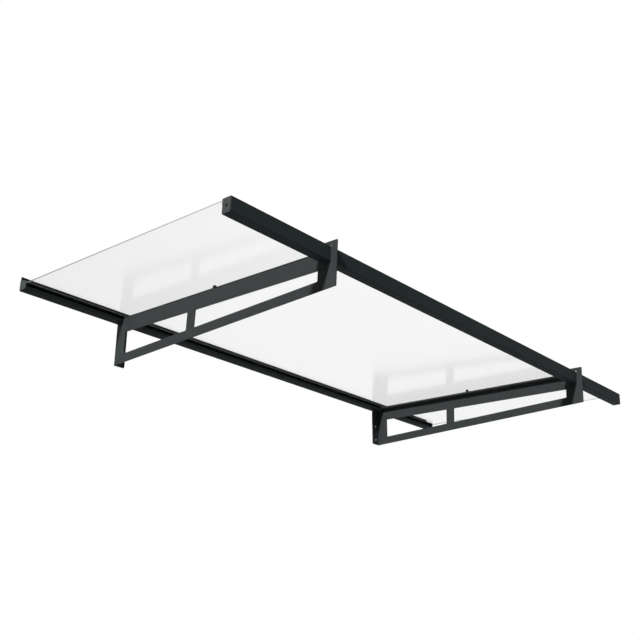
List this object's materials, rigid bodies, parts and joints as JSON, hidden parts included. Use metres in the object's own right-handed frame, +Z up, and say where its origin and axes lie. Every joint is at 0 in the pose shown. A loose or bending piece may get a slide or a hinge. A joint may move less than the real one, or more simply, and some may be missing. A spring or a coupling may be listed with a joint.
{
  "type": "door canopy",
  "caption": "Flat door canopy: a clear sheet held between a wall rail and a front rail, carried by folded side arms with open windows, sloping gently down to the front.",
  "frame": {"origin": "on the wall plane, at the middle of the canopy's width, at the height where the underside of the clear sheet would meet the wall", "axes": "+X to the right of someone who faces the wall, along the canopy's length; +Y into the wall; +Z up. The canopy stands out towards -Y."},
  "size_m": [2.05, 0.9303, 0.1853],
  "materials": {
    "rail": "satin anthracite powder coat",
    "arm": "satin anthracite powder coat",
    "end_cap": "matt grey plastic",
    "clear_sheet": "clear, glossy",
    "rubber": "matt black",
    "dark_screw": "blackened steel"
  },
  "bodies": {
    "root": {"wall_rail": "rail", "front_rail": "rail", "glazing_sheet": "clear_sheet", "wall_seal_lower": "rubber", "wall_seal_upper": "rubber", "front_seal": "rubber", "wall_cap_left": "end_cap", "wall_cap_right": "end_cap", "front_cap_left": "end_cap", "front_cap_right": "end_cap", "front_cap_screw_left": "dark_screw", "front_cap_screw_right": "dark_screw", "arm_left": "arm", "arm_right": "arm", "arm_pad_left": "rubber", "arm_pad_right": "rubber", "sheet_screw_left": "dark_screw", "sheet_screw_right": "dark_screw", "sealing_washer_left": "rubber", "sealing_washer_right": "rubber", "flange_washer_left": "dark_screw", "flange_washer_right": "dark_screw", "sheet_nut_left": "dark_screw", "sheet_nut_right": "dark_screw"}
  },
  "joints": []
}
